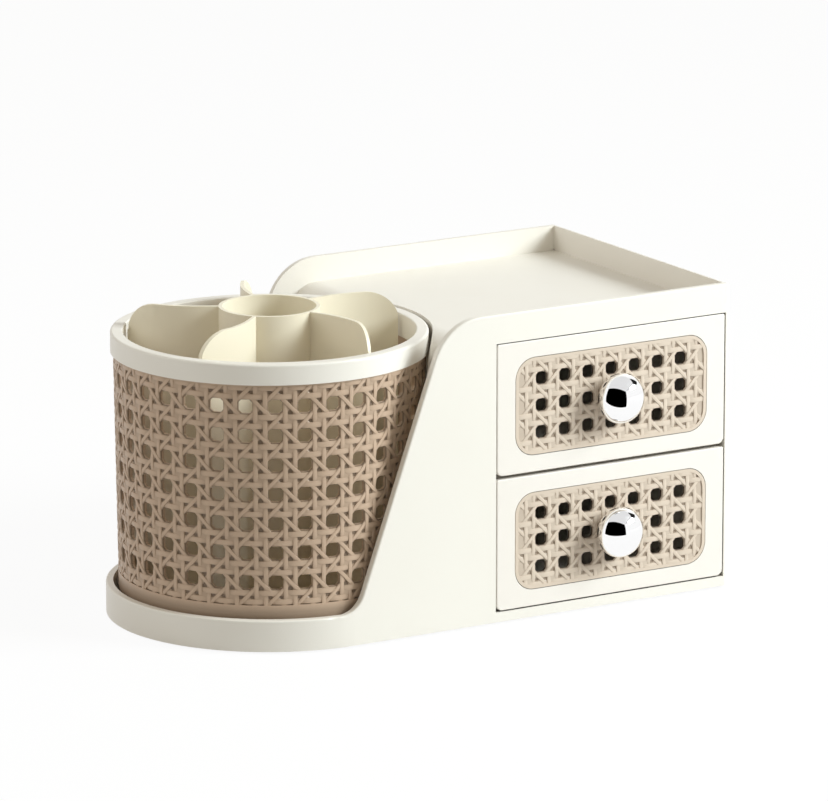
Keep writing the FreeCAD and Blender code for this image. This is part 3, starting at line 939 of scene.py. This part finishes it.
# Sub-assemblies
@dataclass
class PenDrum:
    """The turning drum: sleeve, woven strands, rim, divider insert and platter.

    Attributes:
        body: the CAD body.
        columns: holes round it.
        rows: holes up it.
        first_column: angle of the first column of holes.
        pitch: size of one repeat of the weave.
        first_row: height of the lowest row of holes.
        weave_bottom: where the woven band starts.
        weave_top: where it ends.
        relief: how far its floor lies behind the plain bands.
        top_radius: radius of the plain bands at the sleeve's top.
        top_z: height of that top.
        draft: growth of the radius with height.
        axis: the drum's axis (x, y).
    """

    body: str = "drum"
    columns: int = 33
    rows: int = 7
    first_column: float = math.radians(2.0)
    pitch: float = 13.03 * MM
    first_row: float = 30.11 * MM
    weave_bottom: float = 20.0 * MM
    weave_top: float = 117.2 * MM
    relief: float = 0.9 * MM
    top_radius: float = 68.55 * MM
    top_z: float = 125.0 * MM
    draft: float = math.tan(math.radians(0.848))
    axis: tuple[float, float] = field(init=False)

    def __post_init__(self) -> None:
        """Find the drum's axis."""
        low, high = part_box("rim_ring")
        self.axis = ((low.x + high.x) / 2, (low.y + high.y) / 2)

    def wrap(self, x: np.ndarray, y: np.ndarray, z: np.ndarray) -> tuple[np.ndarray, ...]:
        """Wrap the flat weave round the sleeve.

        Args:
            x: places along the weave.
            y: heights over its first row of repeats.
            z: depths below the plain bands, negative.

        Returns:
            X, y and z in the part's frame.
        """
        angle = x / self.pitch * 2 * math.pi / self.columns + self.first_column
        height = y + (self.first_row - self.pitch)
        radius = self.top_radius + (height - self.top_z) * self.draft + z
        return (self.axis[0] + radius * np.cos(angle), self.axis[1] + radius * np.sin(angle),
                height)

    def weave(self) -> bpy.types.Object:
        """Weave the drum's strands and wrap them round the sleeve.

        Returns:
            The strands, as one piece.
        """
        cane = CaneWeave(self.pitch, self.relief)
        piece = cane.cloth(1, self.rows + 2, "drum_cane_strands")
        base = self.first_row - self.pitch
        cane.trim(piece, (0, self.weave_bottom - base, 0), (0, -1, 0))
        cane.trim(piece, (0, self.weave_top - base, 0), (0, 1, 0))
        apply_modifier(piece, "ARRAY", count=self.columns, use_relative_offset=False,
                       use_constant_offset=True, constant_offset_displace=(self.pitch, 0, 0))
        remap(piece, self.wrap)
        weld(piece)
        smooth(piece, cane.sharp)
        return piece

    def build(self, finishes: "Finishes") -> None:
        """Make the drum's pieces and dress its nodes.

        Args:
            finishes: the finishes to use.
        """
        depth = Depth(self.axis, self.top_radius - self.top_z * self.draft, self.draft, self.relief)
        cane = finishes.drum_cane(depth, self.weave_bottom)
        mount(self.weave(), cane, self.body, Slot.TAUPE)
        dress_nodes(cane, "drum_sleeve")
        dress_nodes(finishes.cream, "rim_ring", "drum_platter")
        dress_nodes(finishes.insert, "divider_insert")
        dress_nodes(finishes.zinc, "platter_screws")


@dataclass
class Turntable:
    """Balls, cage and pivot under the drum."""

    def build(self, finishes: "Finishes") -> None:
        """Dress the turntable's nodes.

        Args:
            finishes: the finishes to use.
        """
        dress_nodes(finishes.nylon, "ball_cage")
        dress_nodes(finishes.balls, "bearing_balls")
        dress_nodes(finishes.zinc, "pivot_washer", "pivot_screw")


@dataclass
class Housing:
    """The moulding that stands still, its base plate, shelf, feet and screws.

    Attributes:
        body: the CAD body.
    """

    body: str = "housing_body"

    def build(self, finishes: "Finishes") -> None:
        """Dress the housing's nodes and cut its screws.

        Args:
            finishes: the finishes to use.
        """
        dress_nodes(finishes.housing, "housing", "drawer_shelf")
        dress_nodes(finishes.cream, "base_plate")
        dress_nodes(finishes.rubber, "rubber_feet")
        for node, upward in (("base_screws", -1.0), ("shelf_screws", 1.0)):
            CrossRecess(Vector((0, 0, upward))).build(node, self.body, finishes.zinc)


@dataclass
class CrossRecess:
    """Cross recess in the heads of a node's screws.

    Attributes:
        outward: direction that the heads face.
        span: width of the cross.
        arm: width of one arm.
        depth: depth of the recess.
        slack: how far a head's face may lie from its outermost point.
        sharp: degrees by which an edge turns that is not smoothed.
    """

    outward: Vector
    span: float = 3.0 * MM
    arm: float = 0.8 * MM
    depth: float = 1.0 * MM
    slack: float = 0.05 * MM
    sharp: float = 30.0

    def heads(self, piece: bpy.types.Object) -> list[Vector]:
        """Centres of the screws' outer faces.

        Args:
            piece: the merged screws.

        Returns:
            One centre for each screw.
        """
        mesh = bmesh.new()
        mesh.from_mesh(piece.data)
        mesh.verts.ensure_lookup_table()
        left = set(range(len(mesh.verts)))
        centres = []
        while left:
            group, edge = [], [min(left)]
            left -= set(edge)
            while edge:
                vertex = mesh.verts[edge.pop()]
                group.append(vertex)
                around = {link.other_vert(vertex).index for link in vertex.link_edges} & left
                left -= around
                edge += sorted(around)
            far = max(vertex.co.dot(self.outward) for vertex in group) - self.slack
            face = [vertex.co for vertex in group if vertex.co.dot(self.outward) > far]
            centres.append(sum((co.copy() for co in face), Vector()) / len(face))
        mesh.free()
        return centres

    def build(self, node: str, body: str, finish: bpy.types.Material) -> None:
        """Cut the recesses into a copy of a node.

        Args:
            node: the node that holds the screws.
            body: the CAD body that they ride on.
            finish: their metal.
        """
        piece = copy_of_node(node, node + "_cross_head")
        arms = []
        turn = self.outward.to_track_quat("Z", "Y").to_matrix().to_4x4()
        for centre in self.heads(piece):
            for size in ((self.span, self.arm), (self.arm, self.span)):
                deselect()
                bpy.ops.mesh.primitive_cube_add(size=1.0)
                arm = bpy.context.object
                scale = Matrix.Diagonal((size[0], size[1], 2 * self.depth, 1.0))
                arm.data.transform(Matrix.Translation(centre) @ turn @ scale)
                arms.append(arm)
        for arm in arms:
            apply_modifier(piece, "BOOLEAN", operation="DIFFERENCE", object=arm, solver="EXACT")
        for arm in arms:
            bpy.data.objects.remove(arm)
        smooth(piece, self.sharp)
        mount(piece, finish, body, Slot.ZINC, node)


@dataclass
class BallKnob:
    """A plated ball knob, flattened along its screw, on a short neck.

    Attributes:
        node: the CAD node that it stands for.
        radius: its widest radius.
        half_depth: half the ball's depth.
        back_gap: between the ball and the drawer's face.
        neck_radius: radius of the neck that seats on the drawer.
        bore_radius: radius of the blind hole for the screw.
        bore_depth: depth of that hole.
        merge: how near doubled vertices lie where the section closes on itself.
        rings: faces from the front to the neck.
        turns: faces round it.
        sharp: degrees by which an edge turns that is not smoothed.
    """

    node: str
    radius: float = 11.25 * MM
    half_depth: float = 7.4 * MM
    back_gap: float = 0.2 * MM
    neck_radius: float = 5.0 * MM
    bore_radius: float = 2.05 * MM
    bore_depth: float = 8.0 * MM
    merge: float = 0.001 * MM
    rings: int = 40
    turns: int = 96
    sharp: float = 35.0

    def centre(self) -> Vector:
        """Find the middle of the ball.

        Returns:
            The middle, in the part's frame.
        """
        low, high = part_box(self.node)
        return Vector(((low.x + high.x) / 2, high.y - self.back_gap - self.half_depth,
                       (low.z + high.z) / 2))

    def profile(self) -> list[Point]:
        """Draw the half section round the middle, with the seat behind.

        Returns:
            Its points, from the front to the bottom of the hole.
        """
        neck_turn = math.acos(self.neck_radius / self.radius)
        seat = self.half_depth + self.back_gap
        points = []
        for ring in range(self.rings + 1):
            turn = -math.pi / 2 + (math.pi / 2 + neck_turn) * ring / self.rings
            points.append((self.radius * math.cos(turn), self.half_depth * math.sin(turn), 0.0))
        points += [(self.neck_radius, seat, 0.0), (self.bore_radius, seat, 0.0),
                   (self.bore_radius, seat - self.bore_depth, 0.0),
                   (0.0, seat - self.bore_depth, 0.0)]
        return points

    def build(self, body: str, finish: bpy.types.Material) -> None:
        """Turn the knob from its half section.

        Args:
            body: the CAD body that it rides on.
            finish: its plating.
        """
        points = self.profile()
        mesh = bpy.data.meshes.new(self.node + "_section")
        mesh.from_pydata(points, [(place, place + 1) for place in range(len(points) - 1)], [])
        piece = add_object(self.node + "_flattened", mesh)
        activate(piece)
        bpy.ops.object.mode_set(mode="EDIT")
        bpy.ops.mesh.select_all(action="SELECT")
        bpy.ops.mesh.spin(steps=self.turns, angle=2 * math.pi, center=(0, 0, 0), axis=(0, 1, 0))
        bpy.ops.mesh.select_all(action="SELECT")
        bpy.ops.mesh.remove_doubles(threshold=self.merge)
        bpy.ops.mesh.normals_make_consistent(inside=False)
        bpy.ops.object.mode_set(mode="OBJECT")
        piece.location = self.centre()
        bpy.ops.object.transform_apply(location=True, rotation=True, scale=True)
        smooth(piece, self.sharp)
        mount(piece, finish, body, Slot.CHROME, self.node)


class Level(Enum):
    """The two drawers."""

    UPPER = "upper"
    LOWER = "lower"


@dataclass
class Drawer:
    """A drawer with its cane panel and ball knob.

    Attributes:
        level: which drawer.
        columns: holes across the panel.
        rows: holes up it.
        pitch: size of one repeat of the weave.
        relief: how far its floor lies behind the panel's face.
        dip: how much lower a strand passes under the others.
        border: width of the panel's raised border.
        flange: how far the panel reaches behind the drawer's window all round.
        corner: radius of the woven field's corners.
        corner_cuts: straight cuts that round each corner, and one.
        web: thickness of the perforated web.
        spare: repeats woven beyond the holes, both ends together.
        end_fill: width of the pads in the half repeats at both ends, in repeats.
        end_depth: depth of their tops below the face.
    """

    level: Level
    columns: int = 7
    rows: int = 3
    pitch: float = 12.05 * MM
    relief: float = 0.8 * MM
    dip: float = 0.38 * MM
    border: float = 1.5 * MM
    flange: float = 2.0 * MM
    corner: float = 8.0 * MM
    corner_cuts: int = 7
    web: float = 1.3 * MM
    spare: int = 3
    end_fill: float = 0.6
    end_depth: float = 0.5 * MM

    def name(self, piece: str) -> str:
        """Name of one of this drawer's nodes."""
        return f"{self.level.value}_{piece}"

    def trim_field(self, cane: CaneWeave, piece: bpy.types.Object, half_x: float,
                   half_z: float) -> None:
        """Trim the strands to the field with its rounded corners.

        Args:
            cane: the weave that the strands belong to.
            piece: the strands, flat, with the field's middle at the origin.
            half_x: half the field's width.
            half_z: half its height.
        """
        for side_x in (-1, 1):
            cane.trim(piece, (side_x * half_x, 0, 0), (side_x, 0, 0))
            for side_y in (-1, 1):
                for cut in range(1, self.corner_cuts):
                    angle = cut / self.corner_cuts * math.pi / 2
                    outward = (side_x * math.cos(angle), side_y * math.sin(angle), 0)
                    point = (side_x * (half_x - self.corner) + self.corner * outward[0],
                             side_y * (half_z - self.corner) + self.corner * outward[1], 0)
                    cane.trim(piece, point, outward)
        for side_y in (-1, 1):
            cane.trim(piece, (0, side_y * half_z, 0), (0, side_y, 0))

    def weave(self) -> bpy.types.Object:
        """Weave the panel's strands and set them into its field.

        Returns:
            The strands, as one piece.
        """
        low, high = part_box(self.name("cane_panel"))
        middle = (low + high) / 2
        half_x = (high.x - low.x) / 2 - self.flange - self.border
        half_z = (high.z - low.z) / 2 - self.flange - self.border
        cane = CaneWeave(self.pitch, self.relief, dip=self.dip)
        piece = cane.cloth(self.columns + self.spare, self.rows + self.spare,
                           self.name("cane_weave"))
        ends = [cane.pad(self.end_fill, self.end_depth, (column, row))
                for column in (0, self.columns + 1) for row in range(1, self.rows + 1)]
        piece = join([piece] + ends, self.name("cane_strands"))
        across, up = (self.columns + 1) / 2 * self.pitch, (self.rows + 1) / 2 * self.pitch
        remap(piece, lambda x, y, z: (x - across, y - up, z))
        self.trim_field(cane, piece, half_x, half_z)
        remap(piece, lambda x, y, z: (middle.x - x, low.y - z, middle.z + y))
        weld(piece)
        smooth(piece, cane.sharp)
        return piece

    def build(self, finishes: "Finishes") -> None:
        """Make the drawer's pieces and dress its nodes.

        Args:
            finishes: the finishes to use.
        """
        body = self.name("drawer_unit")
        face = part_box(self.name("cane_panel"))[0].y
        depth = Depth(None, face, 0.0, self.relief, self.relief + self.web)
        cane = finishes.panel_cane(self.name("cane"), depth)
        mount(self.weave(), cane, body, Slot.TAUPE)
        dress_nodes(cane, self.name("cane_panel"))
        dress_nodes(finishes.drawer, self.name("drawer"))
        dress_nodes(finishes.zinc, self.name("knob_washer"))
        BallKnob(self.name("knob")).build(body, finishes.chrome)
        CrossRecess(Vector((0, 1, 0))).build(self.name("knob_screw"), body, finishes.zinc)


class Finishes:
    """Every finish of the organizer, made once."""

    def __init__(self) -> None:
        """Make the materials that several pieces share."""
        cream = MouldedPlastic(Slot.CREAM, (0.86, 0.825, 0.755), (0.84, 0.80, 0.725))
        # The housing and the drawers get painted shade in their joints; on the drawers only on
        # faces that look up or down.
        housing = replace(cream, name="housing", gap=3.0 * MM)
        drawer = replace(housing, name="drawer", level_only=True,
                         colour=(0.86, 0.813, 0.752), cloud=(0.84, 0.789, 0.722))
        self.cream = cream.material()
        self.housing = housing.material()
        self.drawer = drawer.material()
        self.insert = InsertPlastic(Slot.CREAM, (0.90, 0.835, 0.665), (0.88, 0.81, 0.64),
                                    name="divider_insert").material()
        self.nylon = MouldedPlastic(Slot.NYLON, (0.72, 0.70, 0.64), (0.68, 0.66, 0.6)).material()
        self.chrome = Metal(Slot.CHROME, (0.97, 0.97, 0.97), (0.94, 0.94, 0.945),
                            0.015, 0.05, 140.0).material()
        self.zinc = Metal(Slot.ZINC, (0.60, 0.61, 0.63), (0.5, 0.5, 0.5),
                          0.25, 0.4, 500.0).material()
        self.balls = Metal(Slot.BALLS, (0.7, 0.7, 0.71), (0.62, 0.62, 0.63),
                           0.06, 0.14, 400.0).material()
        self.rubber = Rubber().material()

    @staticmethod
    def drum_cane(depth: Depth, band_top: float) -> bpy.types.Material:
        """Make the cane finish of the drum, with painted shade in its weave and on its lower band.

        Args:
            depth: how its depth is read.
            band_top: height at which its plain lower band ends.

        Returns:
            Its material.
        """
        return CanePlastic(Slot.TAUPE, (0.57, 0.42, 0.303), (0.53, 0.385, 0.275),
                           name="drum_cane", depth=depth, band_top=band_top).material()

    @staticmethod
    def panel_cane(name: str, depth: Depth) -> bpy.types.Material:
        """Make the paler cane finish of a drawer panel, with painted shade in its weave and holes.

        Args:
            name: the material's name.
            depth: how its depth is read.

        Returns:
            Its material.
        """
        return CanePlastic(Slot.TAUPE, (0.69, 0.583, 0.475), (0.655, 0.548, 0.44), name=name,
                           depth=depth, shade=(0.33, 0.26, 0.195), throat_shade=(0.06, 0.035, 0.022),
                           falloff=2.0).material()


# Studio
@dataclass(frozen=True)
class Lamp:
    """A square soft lamp that points at the middle of the part.

    Attributes:
        name: its name.
        azimuth: where it stands, 0 in front and 90 on the right.
        elevation: its height over the floor, as an angle.
        distance: from the part.
        size: side of the square.
        watts: power.
        colour: colour of its light.
    """

    name: str
    azimuth: float
    elevation: float
    distance: float
    size: float
    watts: float
    colour: Colour = (1.0, 1.0, 1.0)

    def build(self, target: Vector) -> None:
        """Add the lamp.

        Args:
            target: the point that it looks at.
        """
        data = bpy.data.lights.new(self.name, "AREA")
        data.size = self.size
        data.energy = self.watts
        data.color = self.colour
        lamp = add_object(self.name, data)
        outward = direction(self.azimuth, self.elevation)
        lamp.location = target + outward * self.distance
        lamp.rotation_euler = outward.to_track_quat("Z", "Y").to_euler()


def direction(azimuth: float, elevation: float) -> Vector:
    """Unit vector from the part.

    Args:
        azimuth: degrees, 0 in front and 90 on the right.
        elevation: degrees over the horizon.

    Returns:
        The vector.
    """
    turn, rise = math.radians(azimuth), math.radians(elevation)
    return Vector((math.sin(turn) * math.cos(rise), -math.cos(turn) * math.cos(rise),
                   math.sin(rise)))


@dataclass(frozen=True)
class MirrorCard:
    """A card that only the chrome sees: the studio's dark doorway, its ceiling and their seam.

    Attributes:
        name: its name.
        shade: its brightness.
        corners: corners in millimetres from the upper knob's centre, along the part's axes.
        streak: brightness of its streaks, as a share of its own.
        streaks: streaks in a metre.
    """

    name: str
    shade: float
    corners: tuple[Point, ...]
    streak: float = 0.97
    streaks: float = 3.0

    def build(self, centre: Vector) -> None:
        """Add the card.

        Args:
            centre: the upper knob's centre.
        """
        places = [centre + Vector(corner) * MM for corner in self.corners]
        mesh = bpy.data.meshes.new(self.name)
        mesh.from_pydata(places, [], [tuple(range(len(places)))])
        card = add_object(self.name, mesh)
        kit = NodeKit.named(self.name)
        tone = kit.mix(kit.noise(self.streaks, 1.0), (self.shade,) * 3,
                       (self.shade * self.streak,) * 3)
        dress(card, kit.output(kit.add("ShaderNodeEmission", {"Color": tone})))
        for rays in ("camera", "diffuse", "shadow", "transmission"):
            setattr(card, "visible_" + rays, False)
        card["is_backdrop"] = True


@dataclass
class Studio:
    """Floor, world, lamps and camera.

    Attributes:
        camera_azimuth: where the camera stands, 0 in front and 90 on the right.
        camera_elevation: its height over the floor, as an angle.
        camera_distance: from the point that it looks at.
        camera_target: that point.
        camera_reach: how far it sees.
        lens: focal length in millimetres.
        sensor: width of the picture plane in millimetres.
        floor_half: half the floor's side.
        floor_drop: how far it lies under the feet.
        floor_patches: its patches in a metre.
        floor_tones: brightness of its patches.
        floor_glow: brightness of what the camera and the chrome see of it.
        floor_share: share of that glow in what they see.
        world_strength: strength of the light from all round.
        world_colour: colour of that light.
        lamps: the lamps.
        cards: the cards in the chrome.
    """

    camera_azimuth: float = -31.216
    camera_elevation: float = 13.66
    camera_distance: float = 3.02009
    camera_target: Point = (0.013773, 0.010, 0.085418)
    camera_reach: float = 50.0
    lens: float = 296.11
    sensor: float = 36.0
    floor_half: float = 9.0
    floor_drop: float = 0.05 * MM
    floor_patches: float = 1.5
    floor_tones: tuple[float, float] = (0.64, 0.62)
    floor_glow: float = 1.05
    floor_share: float = 0.88
    world_strength: float = 0.45
    world_colour: Colour = (1.0, 0.95, 0.84)
    lamps: tuple[Lamp, ...] = (
        Lamp("key_lamp", 48.0, 28.0, 1.9, 0.8, 41.0, (0.89, 0.965, 1.0)),
        Lamp("back_lamp", -115.0, 30.0, 2.2, 1.0, 9.0),
    )
    cards: tuple[MirrorCard, ...] = (
        MirrorCard("room_card", 0.0, ((62, -175, -94), (-551, -152, -94),
                                      (-861, -195, 740), (355, -1081, 330))),
        MirrorCard("ceiling_card", 0.80, ((355, -1081, 330), (-861, -195, 740), (-213, 429, 1100),
                                          (251, 434, 1090), (805, -93, 885), (933, -499, 566))),
        MirrorCard("seam_card", 0.02, ((337, -1027, 313), (886, -489, 527), (1047, -237, 384),
                                       (1059, 82, 413), (770, -108, 833), (876, -428, 592))),
    )

    def build(self) -> None:
        """Set up the whole studio."""
        self.floor()
        self.world()
        low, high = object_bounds()
        for lamp in self.lamps:
            lamp.build((low + high) / 2)
        self.camera()
        centre = BallKnob(f"{Level.UPPER.value}_knob").centre()
        for card in self.cards:
            card.build(centre)
        bpy.context.scene.view_settings.view_transform = "Standard"

    def floor(self) -> None:
        """Pale floor that shows white to the camera and in the chrome, and keeps the shadow."""
        deselect()
        bpy.ops.mesh.primitive_plane_add(size=2 * self.floor_half,
                                         location=(0, 0, -self.floor_drop))
        floor = bpy.context.object
        floor.name = "studio_floor"
        kit = NodeKit.named("studio_floor")
        pale = kit.mix(kit.noise(self.floor_patches, 2.0),
                       *((tone,) * 3 for tone in self.floor_tones))
        matte = kit.add("ShaderNodeBsdfDiffuse", {"Color": pale})
        white = kit.add("ShaderNodeEmission", {"Color": (1, 1, 1), "Strength": self.floor_glow})
        seen = kit.rays("Camera", "Glossy", "Transmission") * self.floor_share
        both = kit.add("ShaderNodeMixShader", {0: seen, 1: matte, 2: white})
        dress(floor, kit.output(both))
        floor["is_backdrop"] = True

    def world(self) -> None:
        """White world, plain light for everything but what looks at it directly."""
        world = bpy.data.worlds.new("studio_world")
        bpy.context.scene.world = world
        kit = NodeKit(world)
        light = tuple(self.world_strength * part for part in self.world_colour)
        shade = kit.mix(kit.rays("Camera", "Glossy"), light, (1.0, 1.0, 1.0))
        back = kit.add("ShaderNodeBackground", {"Color": shade, "Strength": 1.0})
        kit.output(back, "ShaderNodeOutputWorld")

    def camera(self) -> None:
        """Camera that looks at the part from the front left."""
        data = bpy.data.cameras.new("studio_camera")
        data.lens = self.lens
        data.sensor_width = self.sensor
        data.clip_end = self.camera_reach
        camera = add_object("studio_camera", data)
        outward = direction(self.camera_azimuth, self.camera_elevation)
        camera.location = Vector(self.camera_target) + outward * self.camera_distance
        camera.rotation_mode = "QUATERNION"
        camera.rotation_quaternion = (-outward).to_track_quat("-Z", "Y")
        bpy.context.scene.camera = camera


def corners(bounds: tuple[Vector, Vector]) -> list[list[float]]:
    """Two corners as plain lists."""
    return [list(map(float, corner)) for corner in bounds]


def main() -> None:
    """Build the organizer's looks and the studio."""
    logging.basicConfig(level=logging.INFO, format="%(message)s")
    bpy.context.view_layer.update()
    finishes = Finishes()
    Housing().build(finishes)
    Turntable().build(finishes)
    PenDrum().build(finishes)
    for level in Level:
        Drawer(level).build(finishes)
    Studio().build()


if __name__ == "__main__":
    main()
